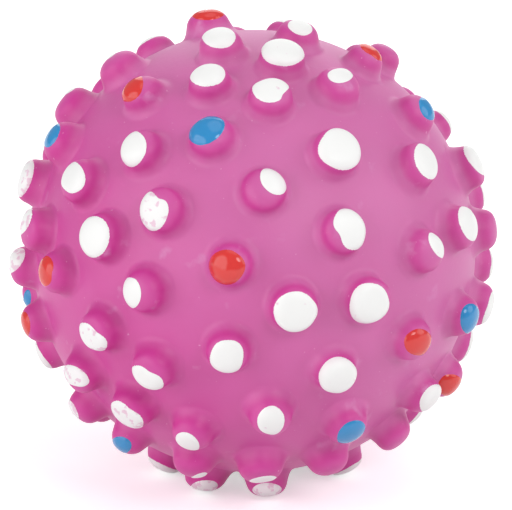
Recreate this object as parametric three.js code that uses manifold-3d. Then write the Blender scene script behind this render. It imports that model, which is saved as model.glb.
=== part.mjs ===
// A hollow moulded-rubber spiky ball with a reed squeaker in its underside.
// Millimetres, +Z up. The ball stands on the floor at z = 0, its front towards -Y.
import * as THREE from 'three';
import { ConvexHull } from 'three/addons/math/ConvexHull.js';
import { mergeVertices } from 'three/addons/utils/BufferGeometryUtils.js';
import Module from 'manifold-3d';

const wasm = await Module();
wasm.setup();

// Rubber skin
const BALL_DIA = 72;
const WALL = 2;
const NUB_HEIGHT = 4.2;
const NUB_DIA = 6.8;
const NUB_FLARE = 1.8;
const NUB_SIDES = 8;
const NUB_TWIST = 0.1;
const FILL_ANGLE = 15;
const FILL_POINTS = 1500;
const FILL_EDGE = 0.4;
const FOOT_SHARE = 0.47;
const FOOT_STEP = 0.4;

// Rings of a nub above its foot: shares of its radius and of its height
const NUB_PROFILE = [[1.12, 0.25], [0.94, 0.68], [0.5, 0.95]];

// Ring of nubs around the squeaker that the ball stands on, with its turns from the front in degrees
const STAND_ANGLE = 23;
const STAND_TURNS = [-78, -32, 8, 76, 118, 160, 205, 245];

// Squeaker seat in the skin
const FIT = 0.2;
const SEAT_DEPTH = 2;
const SEAT_CLEAR_ANGLE = 22;
const LIP_THICK = 3;
const LIP_DIA = 19;

// Squeaker housing and cap
const FLANGE_DIA = 16.4;
const FLANGE_THICK = 1.2;
const BARREL_DIA = 11.2;
const BARREL_WALL = 1;
const BARREL_DEPTH = 11;
const BARB_HEIGHT = 0.9;
const BARB_LENGTH = 1.5;
const AIR_HOLE_DIA = 3.2;
const SOCKET_DEPTH = 2.5;
const SOCKET_WALL = 0.7;
const CAP_THICK = 1;
const CAP_PLUG = 1.2;
const CAP_HOLE_DIA = 1.6;
const CAP_HOLES = 4;
const CAP_HOLE_RING = 2.1;

// Reed
const REED_TUBE_DIA = 4.8;
const REED_TUBE_LENGTH = 7.8;
const REED_FLAT = 0.5;
const REED_SLOT_WIDTH = 1.6;
const REED_SLOT_FLOOR = 1.4;
const REED_END_WALL = 0.8;
const TONGUE_THICK = 0.25;
const TONGUE_WIDTH = 3;
const TONGUE_LENGTH = 7.2;
const TONGUE_LIFT = 0.2;
const WEDGE_LENGTH = 2.7;

// Nub tips seen from the front, VIEW_TILT above the horizon, in hundredths of the tip
// radius to the right of the centre and above it, row by row from the top.
const VIEW_TILT = 20;
const CHART_RADIUS = 100;
const FRONT_TIPS = [
  [-20, 98], [19, 93], [-14, 88], [55, 83], [12, 82], [48, 82], [-58, 79],
  [-19, 72], [36, 70], [-48, 68], [7, 65], [-78, 62],
  [70, 59], [-18, 49], [-83, 47], [-48, 43], [35, 42],
  [70, 36], [92, 36], [-95, 30], [-74, 30], [4, 26],
  [-39, 17], [88, 10], [-93, 9], [99, 9], [38, 8], [-65, 6], [73, 0],
  [-10, -6], [-99, -7], [-85, -9], [-47, -17],
  [48, -21], [97, -23], [17, -24], [90, -28], [-94, -31], [-66, -34], [68, -38],
  [-11, -43], [-43, -50], [35, -52], [-74, -52], [83, -55],
  [72, -62], [-52, -67], [-72, -67], [7, -70], [40, -75], [-26, -78], [60, -78], [-54, -81],
  [32, -90], [-26, -91], [3, -93],
];
// Tips on the far side that show just beyond the outline or stand close behind it.
const REAR_TIPS = [
  [13, 94], [-9, 91], [-43, 86], [47, 82], [-30, 81], [-63, 69], [64, 65], [79, 54], [-84, 44],
  [93, 25], [-93, 11], [97, -5], [-94, -19], [88, -40], [-88, -42], [-68, -66], [66, -68],
];

// Worked out from the sizes above
const BALL_RADIUS = BALL_DIA / 2;
const NUB_RADIUS = NUB_DIA / 2;
const SEAT_Z = SEAT_DEPTH - BALL_RADIUS;
const FACE_Z = SEAT_Z - FIT - FLANGE_THICK;
const BARREL_RADIUS = BARREL_DIA / 2;
const BARB_START = FLANGE_THICK + LIP_THICK + 2 * FIT;
const FLOOR_TOP = FLANGE_THICK + FIT;
const REED_RADIUS = REED_TUBE_DIA / 2;
const SOCKET_RADIUS = REED_RADIUS + FIT;
const REED_START = FLOOR_TOP + FIT;

// Fineness of the round shapes, and the distance within which their corners are joined
const ROUND_STEPS = 28;
const FINE_STEPS = 16;
const BALL_STEPS = 26;
const JOIN_GAP = 1e-4;

// Finishes
const RUBBER = { color: 0xd45fa6, roughness: 0.5 };
const PLASTIC = { color: 0xf2efe8, roughness: 0.4 };
const CAP_PLASTIC = { color: 0xece8df, roughness: 0.4 };
const REED_FILM = { color: 0xe6e2d6, roughness: 0.3 };

const radians = THREE.MathUtils.degToRad;

// Merges a geometry's shared vertices and leaves out the triangles that vanish on the axis.
function welded(geometry) {
  const plain = geometry.clone();
  plain.deleteAttribute('normal');
  plain.deleteAttribute('uv');
  const merged = mergeVertices(plain, JOIN_GAP);
  const corners = merged.index.array;
  const kept = [];
  for (let i = 0; i < corners.length; i += 3) {
    const [a, b, c] = [corners[i], corners[i + 1], corners[i + 2]];
    if (a !== b && b !== c && c !== a) kept.push(a, b, c);
  }
  merged.setIndex(kept);
  return merged;
}

function solid(geometry) {
  const closed = welded(geometry);
  const vertProperties = new Float32Array(closed.attributes.position.array);
  const triVerts = new Uint32Array(closed.index.array);
  return new wasm.Manifold(new wasm.Mesh({ numProp: 3, vertProperties, triVerts }));
}

function surface(body) {
  const { vertProperties, triVerts } = body.getMesh();
  const geometry = new THREE.BufferGeometry();
  geometry.setAttribute('position', new THREE.BufferAttribute(vertProperties, 3));
  geometry.setIndex(new THREE.BufferAttribute(triVerts, 1));
  return geometry;
}

// A solid of revolution about Z from a closed outline of [radius, z], counter-clockwise.
function turned(outline, steps) {
  const points = outline.map(([r, z]) => new THREE.Vector2(r, z));
  points.push(points[0].clone());
  return new THREE.LatheGeometry(points, steps).rotateX(Math.PI / 2);
}

function rod(radius, bottom, top, steps) {
  return turned([[0, bottom], [radius, bottom], [radius, top], [0, top]], steps);
}

function block(xMin, xMax, width, bottom, top) {
  const box = new THREE.BoxGeometry(xMax - xMin, width, top - bottom);
  return box.translate((xMin + xMax) / 2, 0, (bottom + top) / 2);
}

// The direction from the ball's centre to a tip on the front view's chart.
function chartDirection([across, up], side) {
  const x = across / CHART_RADIUS;
  const y = up / CHART_RADIUS;
  const toward = side * Math.sqrt(Math.max(0, 1 - x * x - y * y));
  return new THREE.Vector3(x, -toward, y)
    .normalize()
    .applyAxisAngle(new THREE.Vector3(1, 0, 0), -radians(VIEW_TILT));
}

function standDirections() {
  const out = Math.sin(radians(STAND_ANGLE));
  const down = Math.cos(radians(STAND_ANGLE));
  return STAND_TURNS.map((turn) => {
    const angle = radians(turn);
    return new THREE.Vector3(out * Math.sin(angle), -out * Math.cos(angle), -down);
  });
}

function nearestAngle(direction, others) {
  let closest = -1;
  for (const other of others) closest = Math.max(closest, direction.dot(other));
  return Math.acos(Math.min(1, closest));
}

// Spirals points over the sphere, and leaves out the squeaker's place and the charted front.
function freePoints() {
  const points = [];
  const golden = Math.PI * (3 - Math.sqrt(5));
  const front = chartDirection([0, 0], 1);
  for (let i = 0; i < FILL_POINTS; i += 1) {
    const z = 1 - (2 * i + 1) / FILL_POINTS;
    const r = Math.sqrt(1 - z * z);
    const point = new THREE.Vector3(r * Math.cos(i * golden), r * Math.sin(i * golden), z);
    const offSeat = Math.acos(-z) > radians(SEAT_CLEAR_ANGLE);
    if (offSeat && point.dot(front) < -FILL_EDGE) points.push(point);
  }
  return points;
}

// All nub axes: the charted ones, the standing ring, and the rest of the ball filled evenly.
function nubDirections() {
  const nubs = [
    ...FRONT_TIPS.map((tip) => chartDirection(tip, 1)),
    ...REAR_TIPS.map((tip) => chartDirection(tip, -1)),
    ...standDirections(),
  ];
  const free = freePoints();
  for (;;) {
    let best = null;
    let room = radians(FILL_ANGLE);
    for (const point of free) {
      const angle = nearestAngle(point, nubs);
      if (angle > room) [best, room] = [point, angle];
    }
    if (!best) return nubs;
    nubs.push(best);
  }
}

// Rings of one nub as [radius, height along its axis from the ball's centre], foot first.
function nubRings(axis, nubs) {
  const others = nubs.filter((nub) => nub !== axis);
  const most = FOOT_SHARE * nearestAngle(axis, others) * BALL_RADIUS;
  const foot = Math.min(NUB_RADIUS + NUB_FLARE, most);
  const side = Math.min(NUB_RADIUS, foot - FOOT_STEP);
  const footHeight = Math.sqrt(BALL_RADIUS * BALL_RADIUS - foot * foot);
  const upper = NUB_PROFILE.map(([wide, tall]) => [
    Math.min(side * wide, foot - FOOT_STEP / 2), BALL_RADIUS + tall * NUB_HEIGHT,
  ]);
  return [[foot, footHeight], ...upper];
}

// The outside of the skin: nubs on the sphere, their feet joined by the sphere's own facets.
function nubbedBall() {
  const positions = [];
  const triangles = [];
  const onSphere = [];
  const nubs = nubDirections();
  const place = (point) => {
    positions.push(point.x, point.y, point.z);
    return positions.length / 3 - 1;
  };
  for (const axis of nubs) {
    const across = new THREE.Vector3(-axis.y, axis.x, NUB_TWIST).cross(axis).normalize();
    const along = axis.clone().cross(across);
    const rings = nubRings(axis, nubs).map(([radius, height], level) => {
      const ring = [];
      for (let i = 0; i < NUB_SIDES; i += 1) {
        const turn = (i * 2 * Math.PI) / NUB_SIDES;
        const point = axis.clone().multiplyScalar(height);
        point.addScaledVector(across, radius * Math.cos(turn));
        point.addScaledVector(along, radius * Math.sin(turn));
        ring.push(place(point));
        if (level === 0) onSphere.push(Object.assign(point, { corner: ring[i] }));
      }
      return ring;
    });
    onSphere.push(Object.assign(axis.clone().multiplyScalar(BALL_RADIUS), { corner: null }));
    const tip = place(axis.clone().multiplyScalar(BALL_RADIUS + NUB_HEIGHT));
    for (let i = 0; i < NUB_SIDES; i += 1) {
      const next = (i + 1) % NUB_SIDES;
      for (let level = 1; level < rings.length; level += 1) {
        const [low, high] = [rings[level - 1], rings[level]];
        triangles.push(low[i], low[next], high[next], low[i], high[next], high[i]);
      }
      const crown = rings[rings.length - 1];
      triangles.push(crown[i], crown[next], tip);
    }
  }
  for (const face of new ConvexHull().setFromPoints(onSphere).faces) {
    const corners = [0, 1, 2].map((i) => face.getEdge(i).head().point.corner);
    if (!corners.includes(null)) triangles.push(...corners);
  }
  const geometry = new THREE.BufferGeometry();
  geometry.setAttribute('position', new THREE.Float32BufferAttribute(positions, 3));
  geometry.setIndex(triangles);
  return geometry;
}

// The hollow is a sphere with the squeaker's lip left standing in it.
function ballSkin() {
  const lipTop = SEAT_Z + LIP_THICK;
  const hollow = solid(new THREE.SphereGeometry(BALL_RADIUS - WALL, BALL_STEPS, BALL_STEPS / 2))
    .subtract(solid(rod(LIP_DIA / 2, -BALL_DIA, lipTop, ROUND_STEPS)));
  const bore = solid(rod(BARREL_RADIUS + FIT, -BALL_DIA, lipTop + LIP_THICK, ROUND_STEPS));
  const seat = solid(rod(FLANGE_DIA / 2 + FIT, -BALL_DIA, SEAT_Z, ROUND_STEPS));
  return surface(solid(nubbedBall()).subtract(hollow).subtract(bore).subtract(seat));
}

// The squeaker's own frame starts at its outer face, with +Z into the ball.
function squeakerHousing() {
  const inner = BARREL_RADIUS - BARREL_WALL;
  const hole = AIR_HOLE_DIA / 2;
  const socketTop = FLOOR_TOP + SOCKET_DEPTH;
  const socketOut = SOCKET_RADIUS + SOCKET_WALL;
  return turned([
    [hole, 0], [FLANGE_DIA / 2, 0], [FLANGE_DIA / 2, FLANGE_THICK],
    [BARREL_RADIUS, FLANGE_THICK], [BARREL_RADIUS, BARB_START],
    [BARREL_RADIUS + BARB_HEIGHT, BARB_START],
    [BARREL_RADIUS, BARB_START + BARB_LENGTH], [BARREL_RADIUS, BARREL_DEPTH],
    [inner, BARREL_DEPTH], [inner, FLOOR_TOP], [socketOut, FLOOR_TOP], [socketOut, socketTop],
    [SOCKET_RADIUS, socketTop], [SOCKET_RADIUS, FLOOR_TOP], [hole, FLOOR_TOP],
  ], ROUND_STEPS);
}

function squeakerCap() {
  const bottom = BARREL_DEPTH + FIT / 2;
  const plugOut = BARREL_RADIUS - BARREL_WALL - FIT;
  const plugIn = plugOut - BARREL_WALL;
  let cap = solid(turned([
    [0, bottom], [plugIn, bottom], [plugIn, bottom - CAP_PLUG], [plugOut, bottom - CAP_PLUG],
    [plugOut, bottom], [BARREL_RADIUS, bottom], [BARREL_RADIUS, bottom + CAP_THICK],
    [0, bottom + CAP_THICK],
  ], ROUND_STEPS));
  for (let i = 0; i < CAP_HOLES; i += 1) {
    const turn = (i * 2 * Math.PI) / CAP_HOLES;
    const hole = rod(CAP_HOLE_DIA / 2, 0, BARREL_DEPTH * 2, FINE_STEPS);
    hole.translate(CAP_HOLE_RING * Math.cos(turn), CAP_HOLE_RING * Math.sin(turn), 0);
    cap = cap.subtract(solid(hole));
  }
  return surface(cap);
}

// A half-round tube, closed at its inner end, with a long slot in its flat for the air.
function reedTube() {
  const top = REED_START + REED_TUBE_LENGTH;
  const round = solid(rod(REED_RADIUS, REED_START, top, ROUND_STEPS));
  const flat = solid(block(REED_FLAT, REED_TUBE_DIA, REED_TUBE_DIA * 2, 0, top * 2));
  const slot = solid(block(-REED_SLOT_FLOOR, REED_TUBE_DIA, REED_SLOT_WIDTH, 0, top - REED_END_WALL));
  return surface(round.subtract(flat).subtract(slot));
}

// The tongue lies over the slot, held at its foot and free to flutter above it.
function reedTongue() {
  const x = REED_FLAT + TONGUE_LIFT;
  return block(x, x + TONGUE_THICK, TONGUE_WIDTH, REED_START, REED_START + TONGUE_LENGTH);
}

// A round-backed wedge fills the socket behind the tongue's foot.
function reedWedge() {
  const front = REED_FLAT + 2 * TONGUE_LIFT + TONGUE_THICK;
  const round = solid(rod(REED_RADIUS, REED_START, REED_START + WEDGE_LENGTH, ROUND_STEPS));
  const rest = solid(block(-REED_TUBE_DIA, front, REED_TUBE_DIA * 2, 0, BARREL_DEPTH));
  return surface(round.subtract(rest));
}

function piece(name, geometry, finish) {
  const material = new THREE.MeshStandardMaterial({ ...finish, metalness: 0 });
  const mesh = new THREE.Mesh(geometry, material);
  mesh.name = name;
  return mesh;
}

const skin = piece('ball_skin', ballSkin(), RUBBER);
skin.geometry.computeBoundingBox();

const squeaker = new THREE.Group();
squeaker.add(piece('squeaker_housing', squeakerHousing(), PLASTIC));
squeaker.add(piece('squeaker_cap', squeakerCap(), CAP_PLASTIC));
squeaker.add(piece('reed_tube', reedTube(), PLASTIC));
squeaker.add(piece('reed_tongue', reedTongue(), REED_FILM));
squeaker.add(piece('reed_wedge', reedWedge(), PLASTIC));
squeaker.position.z = FACE_Z;

const ball = new THREE.Group();
ball.add(skin, squeaker);
ball.position.z = -skin.geometry.boundingBox.min.z;

const toy = new THREE.Group();
toy.add(ball);

export default toy;
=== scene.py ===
import math
import random
from dataclasses import dataclass

import bmesh
import bpy
import numpy as np
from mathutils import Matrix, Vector


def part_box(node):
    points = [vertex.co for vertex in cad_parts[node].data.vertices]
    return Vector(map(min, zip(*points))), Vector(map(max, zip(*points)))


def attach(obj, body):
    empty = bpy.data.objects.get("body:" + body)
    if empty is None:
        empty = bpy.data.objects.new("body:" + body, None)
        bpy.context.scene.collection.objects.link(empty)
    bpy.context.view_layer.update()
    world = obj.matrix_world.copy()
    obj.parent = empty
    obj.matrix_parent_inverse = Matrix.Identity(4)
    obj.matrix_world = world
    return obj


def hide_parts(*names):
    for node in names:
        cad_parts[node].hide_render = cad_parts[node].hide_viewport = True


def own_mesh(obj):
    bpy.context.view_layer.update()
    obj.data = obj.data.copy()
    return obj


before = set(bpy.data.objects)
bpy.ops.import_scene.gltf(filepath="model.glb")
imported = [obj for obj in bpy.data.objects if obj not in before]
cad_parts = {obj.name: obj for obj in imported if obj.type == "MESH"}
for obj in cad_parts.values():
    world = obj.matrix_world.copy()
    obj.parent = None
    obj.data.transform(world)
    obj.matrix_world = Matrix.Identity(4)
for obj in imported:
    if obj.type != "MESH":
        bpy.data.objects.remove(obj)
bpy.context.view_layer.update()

MM = 0.001
FULL_TURN = 2 * math.pi
TINY = 1e-12

# The ball and its nubs, which are round here where the solids have eight sides
BALL_RADIUS = 36 * MM
NUB_HEIGHT = 4.2 * MM
NUB_RADIUS = 3.65 * MM
NUB_FOOT = 4.9 * MM
LEAST_FLARE = 0.9 * MM
SKIN_SUBDIVISIONS = 8

# The share of the way to its nearest neighbour that a nub's foot may take
FOOT_SHARE = 0.48

# The squeaker's seat under the ball, with its depths taken from the ball's centre
FACE_TO_CENTRE = 35.4 * MM
SEAT_RADIUS = 8.4 * MM
SEAT_DEPTH = 34 * MM
BORE_RADIUS = 5.8 * MM
LIP_TOP_DEPTH = 31 * MM

# How the nubs' tips are found on the solid skin
TIP_TOLERANCE = 0.05 * MM
SAME_AXIS = 0.999

# How the nubs differ from one another
SEED = 7
SIDE_RANGE = (0.94, 1.04)
FLATNESS_RANGE = (0.2, 0.8)
HEIGHT_RANGE = (0.95, 1)
MOST_LEAN = 0.5 * MM
LEAN_POWER = 1.5

# A painted nub is wider than its paint, and the more of it the paint covers, the flatter its tip
WIDER_THAN_PAINT = 1.02
PAINT_COVER = (0.55, 1.05)
DOMED_COLOURS = ("red", "blue")
DOMED_FLATNESS = 0.3

# Shares of a nub's radius and height along its profile: a round tip's, and what a flat tip adds
TIP_WIDTH = (0.42, 0.2)
BRIM_WIDTH = (0.8, 0.13)
BRIM_HEIGHT = (0.86, 0.08)
SHOULDER_WIDTH = (0.95, 0.03)
SHOULDER_HEIGHT = (0.45, 0.1)

# The lower part of the profile, which is the same for every tip
WAIST_WIDTH = 1.04
WAIST_HEIGHT = 0.2
FLARE_PULL = 0.585
PROFILE_STEPS = 24

# The step along a profile that its slope is taken over
SLOPE_STEP = 0.15 * MM

# The photo's view, and the ball's place in its pixels
IMAGE_WIDTH = 512
IMAGE_HEIGHT = 510
BALL_PIXEL = (254, 251)
TIP_RADIUS_PIXELS = 247
VIEW_TILT = math.radians(20)
CAMERA_DISTANCE = 2.0
SENSOR_WIDTH = 36

# Nubs that face away from the photo by more than this are hidden behind the ball
OUT_OF_SIGHT = -0.45

# How many pixels nearer a nub counts for a dab when it faces the photo
FACING_PIXELS = 12

# A nub that leaves less than this of the photo's rightward direction takes its upward one
LEAST_ACROSS = 0.2

# How the photo's view of a nub is sampled
LOOK_STEPS = 50
LOOK_TURNS = 90
PAINT_REACH = 1.05

# Paint past a nub's far edge goes on behind it
EDGE_GAP_PIXELS = 0.8
EDGE_FACING = 0.2
PAINT_BEHIND = 3.2 * MM

# The dabs of paint, which are thin blobs with slowly waving edges
DAB_THICK = 0.16 * MM
DAB_SINK = 0.04 * MM
DAB_ROUNDING = 6
DAB_RINGS = 9
DAB_SIDES = 48
DAB_TURNS = np.arange(DAB_SIDES) * FULL_TURN / DAB_SIDES
EDGE_WAVES = (2, 3, 4, 5, 7)
EDGE_WAVINESS = 0.09
NOTCH_DEPTH = 0.45
NOTCH_WIDTH = 0.42
SMOOTH_PASSES = 6
MERGE_DISTANCE = 1e-7

# Paint on the nubs that the photo doesn't show
UNSEEN_COLOURS = {"white": 0.74, "red": 0.13, "blue": 0.13}
UNSEEN_RADIUS = (2.6 * MM, 3.4 * MM)
UNSEEN_OFF_CENTRE = 0.7 * MM

# Painted sheen and shade on the rubber: paler on a nub's tip and round its foot and darker down its
# sides where shade falls, and paler towards the ball's upper right where the light falls and darker
# towards its lower left
SHEEN_SHADE_PLACES = (0, 0.35, 0.5, 0.64, 0.78)
SHEEN_SHADE_AMOUNTS = (0.8, 0.6, 0.25, 0.35, 1)
PAINTED_SHEEN_SIDE = np.array([0.8, 0, 0.6])
PAINTED_SHEEN_FACING = (-0.5, 0.5)
PAINTED_SHEEN_SHARES = (0.42, 1.1)


@dataclass
class Dab:
    """A dab of paint as the photo shows it: an ellipse in its pixels, with angles in degrees."""

    colour: str
    x: float
    y: float
    width: float
    height: float
    tilt: float = 0
    notch: float = None


@dataclass
class Noise:
    """Noise over a surface, and the values where a blend by it starts and ends."""

    scale: float
    detail: float
    start: float = 0
    end: float = 1


@dataclass
class Paint:
    """A coat of paint, and the noise above which it is worn thin."""

    name: str
    colour: tuple
    worn: tuple
    roughness: float
    wear_start: float


@dataclass
class Plastic:
    """The plastic of a piece of the squeaker."""

    node: str
    colour: tuple
    roughness: float


@dataclass
class Lamp:
    """A round studio lamp that points at the ball."""

    name: str
    place: tuple
    size: float
    power: float


SEEN_DABS = [
    Dab("white", x=300, y=28, width=27, height=16, tilt=-15),
    Dab("white", x=219, y=38, width=36, height=25),
    Dab("white", x=283, y=53, width=48, height=32),
    Dab("white", x=207, y=75, width=39, height=27),
    Dab("white", x=340, y=76, width=27, height=16),
    Dab("white", x=272, y=91, width=42, height=26, notch=-28),
    Dab("white", x=112, y=53, width=28, height=6, tilt=40),
    Dab("white", x=70, y=89, width=34, height=7, tilt=32),
    Dab("white", x=133, y=148, width=30, height=39),
    Dab("white", x=341, y=149, width=49, height=46),
    Dab("white", x=426, y=161, width=42, height=25, tilt=-72),
    Dab("white", x=474, y=160, width=44, height=16, tilt=-52),
    Dab("white", x=72, y=176, width=40, height=28, tilt=-70),
    Dab("worn", x=27, y=178, width=44, height=14, tilt=73),
    Dab("white", x=273, y=182, width=33, height=23, tilt=-50),
    Dab("worn", x=154, y=210, width=32, height=45, notch=61),
    Dab("worn", x=22, y=219, width=48, height=21, tilt=62),
    Dab("white", x=468, y=224, width=40, height=20, tilt=-68),
    Dab("white", x=349, y=230, width=45, height=36, tilt=-60, notch=209),
    Dab("white", x=94, y=237, width=35, height=46),
    Dab("white", x=437, y=246, width=31, height=13, tilt=-60),
    Dab("worn", x=15, y=262, width=34, height=16, tilt=52),
    Dab("white", x=131, y=293, width=23, height=33),
    Dab("white", x=369, y=304, width=43, height=46),
    Dab("white", x=295, y=311, width=47, height=42),
    Dab("worn", x=91, y=336, width=42, height=24, tilt=-35, notch=45),
    Dab("white", x=227, y=357, width=36, height=39),
    Dab("worn", x=74, y=375, width=36, height=20, tilt=-25),
    Dab("white", x=338, y=375, width=40, height=40),
    Dab("white", x=147, y=377, width=40, height=22, tilt=-30, notch=60),
    Dab("white", x=432, y=400, width=37, height=27, tilt=60),
    Dab("worn", x=71, y=406, width=34, height=10, tilt=-62),
    Dab("worn", x=127, y=415, width=44, height=26, tilt=-35, notch=54),
    Dab("white", x=271, y=420, width=29, height=31),
    Dab("white", x=188, y=442, width=29, height=18, tilt=-40),
    Dab("white", x=197, y=477, width=24, height=6, tilt=22),
    Dab("white", x=263, y=479, width=30, height=6, tilt=8),
    Dab("white", x=331, y=479, width=26, height=9, tilt=15),
    Dab("worn", x=204, y=486, width=31, height=14, tilt=8),
    Dab("worn", x=267, y=489, width=31, height=15),
    Dab("red", x=207, y=16, width=35, height=11),
    Dab("red", x=374, y=52, width=40, height=18, tilt=-35, notch=235),
    Dab("red", x=132, y=88, width=34, height=24, tilt=65),
    Dab("red", x=227, y=267, width=39, height=37),
    Dab("red", x=47, y=271, width=19, height=33, notch=-15),
    Dab("red", x=25, y=327, width=14, height=34),
    Dab("red", x=418, y=342, width=31, height=29),
    Dab("red", x=450, y=385, width=27, height=25),
    Dab("blue", x=427, y=109, width=28, height=16, tilt=-65),
    Dab("blue", x=207, y=131, width=40, height=28, tilt=30),
    Dab("blue", x=52, y=135, width=30, height=15, tilt=62),
    Dab("blue", x=28, y=298, width=8, height=19),
    Dab("blue", x=470, y=319, width=24, height=34),
    Dab("blue", x=351, y=433, width=36, height=24, tilt=40),
    Dab("blue", x=120, y=445, width=25, height=20),
    Dab("bare", x=232, y=26, width=0, height=0),
    Dab("bare", x=392, y=45, width=0, height=0),
    Dab("bare", x=415, y=89, width=0, height=0),
    Dab("bare", x=498, y=229, width=0, height=0),
    Dab("bare", x=402, y=445, width=0, height=0),
]

# The rubber's look: the pale pink is painted sheen, and the deep pink, the mottle's darker tone, shows
# as painted shade on the nubs' sides
PINK = (0.613, 0.038, 0.306)
PAINTED_SHEEN_PINK = (0.624, 0.147, 0.392)
MOTTLE_AND_SHADE_PINK = (0.586, 0.013, 0.269)
SCUFF_PINK = (0.645, 0.204, 0.452)
SPECK_PINK = (0.71, 0.28, 0.516)
RUBBER_ROUGHNESS = 0.46
RUBBER_SCATTER_WEIGHT = 0.12
RUBBER_SCATTER_RADIUS = (1.0, 0.35, 0.6)
RUBBER_SCATTER_DEPTH = 2 * MM
MOTTLE = Noise(scale=90, detail=3, start=0.35, end=0.65)
SCUFFS = Noise(scale=260, detail=5, start=0.64, end=0.78)
SPECKS = Noise(scale=1600, detail=1, start=0.77, end=0.81)
RUBBER_GRAIN = Noise(scale=1400, detail=2)
RUBBER_GRAIN_DEPTH = 0.05 * MM

# The paint's look
PAINTS = {
    "white": Paint(
        "white_paint",
        colour=(0.88, 0.88, 0.87),
        worn=(0.80, 0.60, 0.70),
        roughness=0.4,
        wear_start=0.7,
    ),
    "worn": Paint(
        "worn_white_paint",
        colour=(0.88, 0.87, 0.87),
        worn=(0.80, 0.58, 0.69),
        roughness=0.4,
        wear_start=0.54,
    ),
    "red": Paint(
        "red_paint",
        colour=(0.70, 0.041, 0.037),
        worn=(0.66, 0.08, 0.08),
        roughness=0.1,
        wear_start=0.68,
    ),
    "blue": Paint(
        "blue_paint",
        colour=(0.031, 0.262, 0.567),
        worn=(0.052, 0.31, 0.6),
        roughness=0.1,
        wear_start=0.68,
    ),
}
WEAR_SCALE = 700
WEAR_DETAIL = 4
WEAR_BLEND = 0.06
BRUSH_MARKS = Noise(scale=600, detail=2)
BRUSH_DEPTH = 0.08 * MM

# The squeaker's look
PLASTICS = [
    Plastic("squeaker_housing", colour=(0.86, 0.84, 0.78), roughness=0.35),
    Plastic("squeaker_cap", colour=(0.84, 0.81, 0.74), roughness=0.4),
    Plastic("reed_tube", colour=(0.86, 0.84, 0.78), roughness=0.4),
    Plastic("reed_tongue", colour=(0.80, 0.77, 0.68), roughness=0.3),
    Plastic("reed_wedge", colour=(0.86, 0.84, 0.78), roughness=0.4),
]
PLASTIC_TONE = Noise(scale=300, detail=2, start=0.3, end=0.7)
PLASTIC_SHADE = 0.95
PLASTIC_GRAIN = Noise(scale=1500, detail=2)
PLASTIC_GRAIN_DEPTH = 0.02 * MM

BUMP_STRENGTH = 0.5
BLACK = (0, 0, 0)
WHITE = (1, 1, 1)

# The floor, which glows so that it shows white
FLOOR_SIZE = 8
FLOOR_COLOUR = (0.85, 0.85, 0.85)
FLOOR_ROUGHNESS = 0.9
FLOOR_GLOW = 0.5

# The studio's light, with places and sizes in metres and power in watts
LAMPS = [
    Lamp("key", place=(0.88, -1.32, 1.25), size=0.8, power=8.8),
    Lamp("left", place=(-1.9, -1.2, 0.5), size=3.2, power=50),
    Lamp("right", place=(1.9, -0.2, 1.0), size=1.8, power=14),
    Lamp("top", place=(0.3, 0.2, 2.2), size=2.0, power=8.4),
    Lamp("back", place=(0.2, 2.2, 1.0), size=2.0, power=15),
]
WORLD_STRENGTH = 0.35

# The photo's directions and the ball's centre, as Blender rounds them
right = np.array(Vector((1, 0, 0)))
up = np.array(Vector((0, math.sin(VIEW_TILT), math.cos(VIEW_TILT))))
toward = np.array(Vector((0, -math.cos(VIEW_TILT), math.sin(VIEW_TILT))))
centre = np.array(Vector((0, 0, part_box("squeaker_housing")[0][2] + FACE_TO_CENTRE)))

tip_radius = BALL_RADIUS + NUB_HEIGHT
pixel_size = tip_radius / TIP_RADIUS_PIXELS
chance = random.Random(SEED)


def find_nub_axes():
    """Directions from the ball's centre to the nub tips, which are the skin's farthest points."""
    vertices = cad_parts["ball_skin"].data.vertices
    corners = np.array([v.co for v in vertices]) - centre
    reach = np.linalg.norm(corners, axis=1)
    axes = []
    for corner in corners[reach > tip_radius - TIP_TOLERANCE]:
        axis = corner / np.linalg.norm(corner)
        if all(axis @ other < SAME_AXIS for other in axes):
            axes.append(axis)
    return np.array(axes)


def bezier(a, b, c, d):
    """Points along a Bezier curve from a to d."""
    t = np.linspace(0, 1, PROFILE_STEPS)[:, None]
    a, b, c, d = (np.array(p) for p in (a, b, c, d))
    return a * (1 - t) ** 3 + 3 * b * t * (1 - t) ** 2 + 3 * c * t * t * (1 - t) + d * t ** 3


def share_for(shares, flat):
    """A share between a round tip's and a flat tip's."""
    start, more = shares
    return start + more * flat


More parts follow.
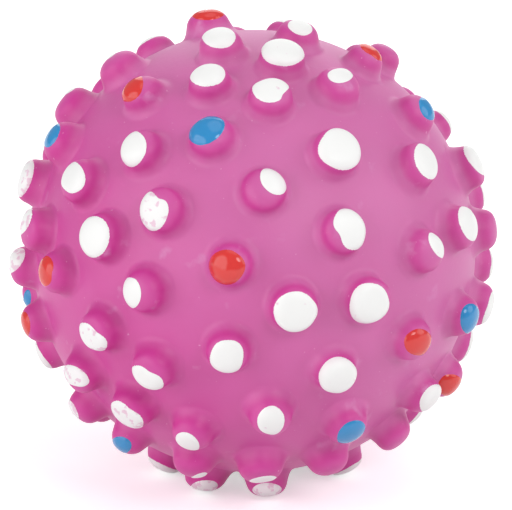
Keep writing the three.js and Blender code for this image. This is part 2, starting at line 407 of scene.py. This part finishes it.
class Nub:
    """One domed nub: its place, its slightly uneven profile and its lean."""

    def __init__(self, axis, room, dab):
        self.axis = axis
        self.dab = dab
        self.foot = min(NUB_FOOT, FOOT_SHARE * room * BALL_RADIUS)
        self.foot_angle = math.asin(self.foot / BALL_RADIUS)
        across = right - axis * (axis @ right)
        if np.linalg.norm(across) < LEAST_ACROSS:
            across = up - axis * (axis @ up)
        self.across = across / np.linalg.norm(across)
        self.along = np.cross(axis, self.across)
        flat = self.choose_size()
        self.draw_profile(flat)
        lean_turn = chance.uniform(0, FULL_TURN)
        lean = chance.uniform(0, MOST_LEAN)
        self.lean = lean * (math.cos(lean_turn) * self.across + math.sin(lean_turn) * self.along)

    def choose_size(self):
        """Sets the nub's radius and height, and returns how flat its tip is."""
        side = NUB_RADIUS * chance.uniform(*SIDE_RANGE)
        flat = chance.uniform(*FLATNESS_RANGE)
        if self.dab and self.dab.colour != "bare":
            paint = max(self.dab.width, self.dab.height) * pixel_size / 2
            side = max(side, WIDER_THAN_PAINT * paint)
            flat = np.interp(paint / NUB_RADIUS, PAINT_COVER, (0, 1))
            if self.dab.colour in DOMED_COLOURS:
                flat *= DOMED_FLATNESS
        self.side = min(side, self.foot - LEAST_FLARE)
        self.height = NUB_HEIGHT * chance.uniform(*HEIGHT_RANGE) - DAB_THICK
        return flat

    def draw_profile(self, flat):
        """Draws the profile from the tip to the foot, as radius and height, and its length so far."""
        side = self.side
        height = self.height
        sink = BALL_RADIUS - math.sqrt(BALL_RADIUS ** 2 - self.foot ** 2)
        slope = self.foot / BALL_RADIUS
        pull = FLARE_PULL * (self.foot - side)
        shoulder = (side * share_for(SHOULDER_WIDTH, flat), height * share_for(SHOULDER_HEIGHT, flat))
        dome = bezier(
            (0, height),
            (side * share_for(TIP_WIDTH, flat), height),
            (side * share_for(BRIM_WIDTH, flat), height * share_for(BRIM_HEIGHT, flat)),
            shoulder,
        )
        flare = bezier(
            shoulder,
            (side * WAIST_WIDTH, height * WAIST_HEIGHT),
            (self.foot - pull, -sink + pull * slope),
            (self.foot, -sink),
        )
        self.profile = np.vstack([dome, flare[1:]])
        steps = np.linalg.norm(np.diff(self.profile, axis=0), axis=1)
        self.length = np.concatenate([[0], np.cumsum(steps)])

    def arc(self, radius):
        """Distance along the profile from the tip to where the nub is this wide."""
        return float(np.interp(radius, self.profile[:, 0], self.length))

    def radius_at(self, distance):
        return np.interp(distance, self.length, self.profile[:, 0])

    def height_at(self, distance):
        return np.interp(distance, self.length, self.profile[:, 1])

    def points(self, distance, turn, lift=0.0):
        """Points on the nub at a distance along its profile and an angle around it, lifted off it."""
        ahead = np.minimum(distance + SLOPE_STEP, self.length[-1])
        behind = np.maximum(distance - SLOPE_STEP, 0)
        wider = self.radius_at(ahead) - self.radius_at(behind)
        higher = self.height_at(ahead) - self.height_at(behind)
        size = np.hypot(wider, higher) + TINY
        radius = self.radius_at(distance) - lift * higher / size
        height = self.height_at(distance) + lift * wider / size
        out = np.cos(turn)[:, None] * self.across + np.sin(turn)[:, None] * self.along
        bend = (np.clip(height / self.height, 0, 1) ** LEAN_POWER)[:, None] * self.lean
        return self.axis * (BALL_RADIUS + height)[:, None] + out * radius[:, None] + bend + centre

    def look(self):
        """Notes where the photo's view shows each patch of the nub that faces it."""
        distance, turn = np.meshgrid(
            np.linspace(0, self.arc(PAINT_REACH * self.side), LOOK_STEPS),
            np.linspace(0, FULL_TURN, LOOK_TURNS, endpoint=False),
        )
        distance, turn = distance.ravel(), turn.ravel()
        places = self.points(distance, turn)
        normals = self.points(distance, turn, MM) - places
        facing = normals @ toward / MM
        seen = facing > 0
        offsets = np.stack([distance * np.cos(turn), distance * np.sin(turn)], axis=1)
        self.seen_pixels = to_pixels(places[seen])
        self.seen_facing = facing[seen]
        self.seen_offsets = offsets[seen]
        away = -np.array([self.across @ toward, self.along @ toward])
        self.behind = away / np.linalg.norm(away) * (1 - self.axis @ toward) * PAINT_BEHIND

    def under(self, pixel):
        """The place on the nub that a pixel shows, as an offset along its surface.

        A pixel past the nub's far edge gives a place out of sight behind that edge.
        """
        gaps = np.linalg.norm(self.seen_pixels - pixel, axis=1)
        nearest = gaps.argmin()
        hides = gaps[nearest] > EDGE_GAP_PIXELS and self.seen_facing[nearest] < EDGE_FACING
        return self.seen_offsets[nearest] + (self.behind if hides else 0)


def to_pixels(places):
    """Where points show in the photo's view."""
    away = places - centre
    size = CAMERA_DISTANCE / (CAMERA_DISTANCE - away @ toward) / pixel_size
    x = BALL_PIXEL[0] + away @ right * size
    y = BALL_PIXEL[1] - away @ up * size
    return np.stack([x, y], axis=1)


def match_dabs(axes):
    """Finds the nub that carries each dab in the photo."""
    facing = axes @ toward
    pixels = to_pixels(axes * tip_radius + centre)
    matched = {}
    for dab in SEEN_DABS:
        gap = np.linalg.norm(pixels - (dab.x, dab.y), axis=1) - FACING_PIXELS * facing
        gap[facing < OUT_OF_SIGHT] = np.inf
        gap[list(matched)] = np.inf
        matched[int(gap.argmin())] = dab
    return matched


def make_nubs():
    """Every nub of the ball, each as far as half-way to its nearest neighbour at most."""
    axes = find_nub_axes()
    dabs = match_dabs(axes)
    nubs = []
    for i, axis in enumerate(axes):
        closeness = axes @ axis
        closeness[i] = -1
        nub = Nub(axis, math.acos(closeness.max()), dabs.get(i))
        nub.look()
        nubs.append(nub)
    return nubs


def make_object(name, mesh, material):
    """Puts a smooth mesh into the scene."""
    obj = bpy.data.objects.new(name, mesh)
    bpy.context.scene.collection.objects.link(obj)
    mesh.materials.append(material)
    for polygon in mesh.polygons:
        polygon.use_smooth = True
    return obj


def cut_seat(bm):
    """Opens the skin under the ball and turns its edge in to the squeaker's seat and bore."""
    inside = [
        f for f in bm.faces
        if f.calc_center_median().z < centre[2]
        and math.hypot(*f.calc_center_median().xy) < SEAT_RADIUS
    ]
    bmesh.ops.delete(bm, geom=inside, context="FACES")
    edge = [e for e in bm.edges if e.is_boundary]
    rim_depth = math.sqrt(BALL_RADIUS ** 2 - SEAT_RADIUS ** 2)
    for v in {v for e in edge for v in e.verts}:
        flat = v.co.xy.normalized() * SEAT_RADIUS
        v.co = Vector((flat.x, flat.y, centre[2] - rim_depth))
    for radius, depth in (
        (SEAT_RADIUS, SEAT_DEPTH),
        (BORE_RADIUS, SEAT_DEPTH),
        (BORE_RADIUS, LIP_TOP_DEPTH),
    ):
        grown = bmesh.ops.extrude_edge_only(bm, edges=edge)["geom"]
        for v in (g for g in grown if isinstance(g, bmesh.types.BMVert)):
            flat = v.co.xy.normalized() * radius
            v.co = Vector((flat.x, flat.y, centre[2] - depth))
        edge = [g for g in grown if isinstance(g, bmesh.types.BMEdge)]
    bmesh.ops.recalc_face_normals(bm, faces=bm.faces)


def make_skin(nubs, material):
    """The rubber skin: a fine sphere drawn out into the nubs, which notes at each point how much
    painted sheen or painted shade it takes.
    """
    bm = bmesh.new()
    bmesh.ops.create_icosphere(bm, subdivisions=SKIN_SUBDIVISIONS, radius=1)
    directions = np.array([v.co for v in bm.verts])
    directions /= np.linalg.norm(directions, axis=1)[:, None]
    places = directions * BALL_RADIUS + centre
    painted_sheen_shade = np.ones(len(directions))
    for nub in nubs:
        closeness = directions @ nub.axis
        mine = np.nonzero(closeness > math.cos(nub.foot_angle))[0]
        share = np.arccos(np.clip(closeness[mine], -1, 1)) / nub.foot_angle
        turn = np.arctan2(directions[mine] @ nub.along, directions[mine] @ nub.across)
        places[mine] = nub.points(share * nub.length[-1], turn)
        # Painted sheen on a nub's tip and round its foot, painted shade down its sides
        painted_sheen_shade[mine] = np.interp(share, SHEEN_SHADE_PLACES, SHEEN_SHADE_AMOUNTS)
    # Painted sheen towards the ball's upper right and painted shade towards its lower left, as the
    # light falls
    painted_sheen_shade *= np.interp(directions @ PAINTED_SHEEN_SIDE, PAINTED_SHEEN_FACING, PAINTED_SHEEN_SHARES)
    painted_sheen_shade_layer = bm.verts.layers.float.new("painted_sheen_shade")
    for v, place, amount in zip(bm.verts, places, painted_sheen_shade):
        v.co = place
        v[painted_sheen_shade_layer] = amount
    cut_seat(bm)
    mesh = bpy.data.meshes.new("ball_skin_fine")
    bm.to_mesh(mesh)
    bm.free()
    return make_object("ball_skin_fine", mesh, material)


def uneven_edge(notch, tilt):
    """A share of the radius for each turn round a dab, with slow waves and perhaps a bite."""
    edge = np.ones(DAB_SIDES)
    for k in EDGE_WAVES:
        swing = EDGE_WAVINESS * chance.uniform(-1, 1) / k
        edge += swing * np.cos(k * DAB_TURNS + chance.uniform(0, FULL_TURN))
    if notch is not None:
        away = (DAB_TURNS + math.radians(tilt - notch) + math.pi) % FULL_TURN - math.pi
        edge *= 1 - NOTCH_DEPTH * np.exp(-(away / NOTCH_WIDTH) ** 2)
    return edge


def round_dab():
    """The middle and outline, along the nub's surface, of a dab that the photo doesn't show."""
    turn = chance.uniform(0, FULL_TURN)
    middle = np.array([math.cos(turn), math.sin(turn)]) * chance.uniform(0, UNSEEN_OFF_CENTRE)
    reach = chance.uniform(*UNSEEN_RADIUS) * uneven_edge(None, 0)
    return middle, middle + np.stack([np.cos(DAB_TURNS), np.sin(DAB_TURNS)], axis=1) * reach[:, None]


def seen_dab(nub):
    """The middle and outline, along the nub's surface, of a dab that the photo shows."""
    dab = nub.dab
    pixel = np.array([dab.x, dab.y])
    tilt = math.radians(dab.tilt)
    long_way = np.array([math.cos(tilt), -math.sin(tilt)]) * dab.width / 2
    short_way = np.array([-math.sin(tilt), -math.cos(tilt)]) * dab.height / 2
    outline = []
    for turn, share in zip(DAB_TURNS, uneven_edge(dab.notch, dab.tilt)):
        from_middle = math.cos(turn) * long_way + math.sin(turn) * short_way
        outline.append(nub.under(pixel + share * from_middle))
    outline = smooth(np.array(outline))
    return outline.mean(axis=0), outline


def smooth(outline):
    """An outline with its points drawn towards their neighbours."""
    for _ in range(SMOOTH_PASSES):
        neighbours = np.roll(outline, 1, axis=0) + np.roll(outline, -1, axis=0)
        outline = outline / 2 + neighbours / 4
    return outline


def plan_dab(nub):
    """A nub's paint: its colour and the dab's middle and outline."""
    if nub.dab:
        return nub.dab.colour, *seen_dab(nub)
    colour = "white"
    if nub.axis @ toward < OUT_OF_SIGHT:
        colour = chance.choices(list(UNSEEN_COLOURS), list(UNSEEN_COLOURS.values()))[0]
    return colour, *round_dab()


def add_dab(vertices, faces, nub, middle, outline):
    """A thin blob of paint over a nub's tip, whose edge meets the skin."""
    start = len(vertices)
    for ring in range(DAB_RINGS + 1):
        share = ring / DAB_RINGS
        offsets = middle + share * (outline - middle)
        lift = DAB_THICK * (1 - share ** DAB_ROUNDING) - DAB_SINK
        distance = np.linalg.norm(offsets, axis=1)
        turn = np.arctan2(offsets[:, 1], offsets[:, 0])
        vertices.extend(nub.points(distance, turn, lift).tolist())
    for ring in range(DAB_RINGS):
        low = start + ring * DAB_SIDES
        high = low + DAB_SIDES
        for i in range(DAB_SIDES):
            j = (i + 1) % DAB_SIDES
            faces.append((low + i, high + i, high + j, low + j))


def make_paint(nubs, materials):
    """One mesh of dabs for each kind of paint."""
    plans = [plan_dab(nub) for nub in nubs]
    made = []
    for colour, material in materials.items():
        vertices, faces = [], []
        for nub, (dab_colour, middle, outline) in zip(nubs, plans):
            if dab_colour == colour:
                add_dab(vertices, faces, nub, middle, outline)
        mesh = bpy.data.meshes.new("paint_" + colour)
        mesh.from_pydata(vertices, [], faces)
        bm = bmesh.new()
        bm.from_mesh(mesh)
        bmesh.ops.remove_doubles(bm, verts=bm.verts, dist=MERGE_DISTANCE)
        bm.to_mesh(mesh)
        bm.free()
        made.append(make_object("paint_" + colour, mesh, material))
    return made


def principled(name, colour, roughness):
    """A new material and its shader."""
    material = bpy.data.materials.new(name)
    material.use_nodes = True
    shader = material.node_tree.nodes["Principled BSDF"]
    shader.inputs["Base Color"].default_value = (*colour, 1)
    shader.inputs["Roughness"].default_value = roughness
    return material, shader


def noise_value(material, noise):
    """The noise's value at each place on the object."""
    nodes, links = material.node_tree.nodes, material.node_tree.links
    place = nodes.new("ShaderNodeTexCoord")
    texture = nodes.new("ShaderNodeTexNoise")
    texture.inputs["Scale"].default_value = noise.scale
    texture.inputs["Detail"].default_value = noise.detail
    links.new(place.outputs["Object"], texture.inputs["Vector"])
    return texture.outputs["Fac"]


def blended(material, noise, low, high):
    """A colour that goes from low to high as the noise rises from its start to its end."""
    value = noise_value(material, noise)
    ramp = material.node_tree.nodes.new("ShaderNodeValToRGB")
    material.node_tree.links.new(value, ramp.inputs["Fac"])
    first, last = ramp.color_ramp.elements
    first.position = noise.start
    first.color = (*low, 1)
    last.position = noise.end
    last.color = (*high, 1)
    return ramp.outputs["Color"]


def mixed(material, factor, a, b):
    """A mix of two colours, each of them fixed or from another node."""
    node = material.node_tree.nodes.new("ShaderNodeMix")
    node.data_type = "RGBA"
    links = material.node_tree.links
    links.new(factor, node.inputs["Factor"])
    for socket, value in ((node.inputs["A"], a), (node.inputs["B"], b)):
        if isinstance(value, tuple):
            socket.default_value = (*value, 1)
        else:
            links.new(value, socket)
    return node.outputs["Result"]


def bumped(material, shader, noise, depth):
    """Roughens a shader's surface by noise."""
    value = noise_value(material, noise)
    node = material.node_tree.nodes.new("ShaderNodeBump")
    node.inputs["Strength"].default_value = BUMP_STRENGTH
    node.inputs["Distance"].default_value = depth
    material.node_tree.links.new(value, node.inputs["Height"])
    material.node_tree.links.new(node.outputs["Normal"], shader.inputs["Normal"])


def skin_material():
    """Satin moulded rubber with a random mottle, paler with painted sheen and deeper with painted
    shade on the nubs' sides, with scuffs and specks.
    """
    material, shader = principled("pink_rubber", PINK, RUBBER_ROUGHNESS)
    painted_sheen_shade = material.node_tree.nodes.new("ShaderNodeAttribute")
    painted_sheen_shade.attribute_name = "painted_sheen_shade"
    mottled_shade = blended(material, MOTTLE, MOTTLE_AND_SHADE_PINK, PINK)
    # Painted sheen turns the rubber pale where its amount is high; painted shade leaves the mottle's
    # deeper pinks on the nubs' sides
    sheen_shaded = mixed(material, painted_sheen_shade.outputs["Fac"], mottled_shade, PAINTED_SHEEN_PINK)
    scuffed = mixed(material, blended(material, SCUFFS, BLACK, WHITE), sheen_shaded, SCUFF_PINK)
    specked = mixed(material, blended(material, SPECKS, BLACK, WHITE), scuffed, SPECK_PINK)
    material.node_tree.links.new(specked, shader.inputs["Base Color"])
    shader.inputs["Subsurface Weight"].default_value = RUBBER_SCATTER_WEIGHT
    shader.inputs["Subsurface Radius"].default_value = RUBBER_SCATTER_RADIUS
    shader.inputs["Subsurface Scale"].default_value = RUBBER_SCATTER_DEPTH
    bumped(material, shader, RUBBER_GRAIN, RUBBER_GRAIN_DEPTH)
    return material


def paint_material(paint):
    """Thick brushed paint, thin where its noise is above the wear's start."""
    material, shader = principled(paint.name, paint.colour, paint.roughness)
    wear = Noise(WEAR_SCALE, WEAR_DETAIL, paint.wear_start, paint.wear_start + WEAR_BLEND)
    shade = mixed(material, blended(material, wear, BLACK, WHITE), paint.colour, paint.worn)
    material.node_tree.links.new(shade, shader.inputs["Base Color"])
    bumped(material, shader, BRUSH_MARKS, BRUSH_DEPTH)
    return material


def plastic_material(plastic):
    """Moulded plastic with a faint change of tone."""
    material, shader = principled(plastic.node + "_plastic", plastic.colour, plastic.roughness)
    shaded = tuple(PLASTIC_SHADE * c for c in plastic.colour)
    tone = blended(material, PLASTIC_TONE, shaded, plastic.colour)
    material.node_tree.links.new(tone, shader.inputs["Base Color"])
    bumped(material, shader, PLASTIC_GRAIN, PLASTIC_GRAIN_DEPTH)
    return material


def dress_squeaker():
    """Gives the squeaker's pieces their plastic."""
    for plastic in PLASTICS:
        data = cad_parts[plastic.node].data
        data.materials.clear()
        data.materials.append(plastic_material(plastic))


def make_floor():
    """A pale floor with a white glow that shows only to the camera and in reflections."""
    bpy.ops.mesh.primitive_plane_add(size=FLOOR_SIZE, location=(0, 0, 0))
    floor = bpy.context.object
    floor.name = "floor"
    material, shader = principled("pale_floor", FLOOR_COLOUR, FLOOR_ROUGHNESS)
    shader.inputs["Emission Color"].default_value = (*WHITE, 1)
    tree = material.node_tree
    ray = tree.nodes.new("ShaderNodeLightPath")
    shown = ray.outputs["Is Camera Ray"]
    for kind in ("Is Glossy Ray", "Is Transmission Ray"):
        either = tree.nodes.new("ShaderNodeMath")
        either.operation = "MAXIMUM"
        tree.links.new(shown, either.inputs[0])
        tree.links.new(ray.outputs[kind], either.inputs[1])
        shown = either.outputs[0]
    glow = tree.nodes.new("ShaderNodeMath")
    glow.operation = "MULTIPLY"
    glow.inputs[1].default_value = FLOOR_GLOW
    tree.links.new(shown, glow.inputs[0])
    tree.links.new(glow.outputs[0], shader.inputs["Emission Strength"])
    floor.data.materials.append(material)


def add_lamp(lamp):
    """A lamp that points at the ball's centre."""
    data = bpy.data.lights.new(lamp.name, "AREA")
    data.shape = "DISK"
    data.size = lamp.size
    data.energy = lamp.power
    light = bpy.data.objects.new(lamp.name, data)
    bpy.context.scene.collection.objects.link(light)
    light.location = lamp.place
    way = Vector(centre) - Vector(lamp.place)
    light.rotation_euler = way.to_track_quat("-Z", "Y").to_euler()


def make_lights():
    """The lamps and an even white surround."""
    for lamp in LAMPS:
        add_lamp(lamp)
    world = bpy.data.worlds.new("studio")
    world.use_nodes = True
    background = world.node_tree.nodes["Background"]
    background.inputs["Color"].default_value = (*WHITE, 1)
    background.inputs["Strength"].default_value = WORLD_STRENGTH
    bpy.context.scene.world = world


def make_camera():
    """The photo's camera, with the ball where the photo has it."""
    data = bpy.data.cameras.new("camera")
    data.sensor_width = SENSOR_WIDTH
    data.lens = SENSOR_WIDTH * CAMERA_DISTANCE / (IMAGE_WIDTH * pixel_size)
    camera = bpy.data.objects.new("camera", data)
    bpy.context.scene.collection.objects.link(camera)
    shift_right = (IMAGE_WIDTH / 2 - BALL_PIXEL[0]) * pixel_size
    shift_down = (IMAGE_HEIGHT / 2 - BALL_PIXEL[1]) * pixel_size
    aim = Vector(centre) + Vector(right) * shift_right - Vector(up) * shift_down
    camera.location = aim + Vector(toward) * CAMERA_DISTANCE
    camera.rotation_euler = (-Vector(toward)).to_track_quat("-Z", "Y").to_euler()
    bpy.context.scene.camera = camera


nubs = make_nubs()
skin = make_skin(nubs, skin_material())
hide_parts("ball_skin")
paint = make_paint(nubs, {colour: paint_material(coat) for colour, coat in PAINTS.items()})
for soft in [skin, *paint]:
    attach(soft, "ball")
    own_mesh(soft)
dress_squeaker()
make_floor()
make_lights()
make_camera()
bpy.context.scene.view_settings.view_transform = "Standard"
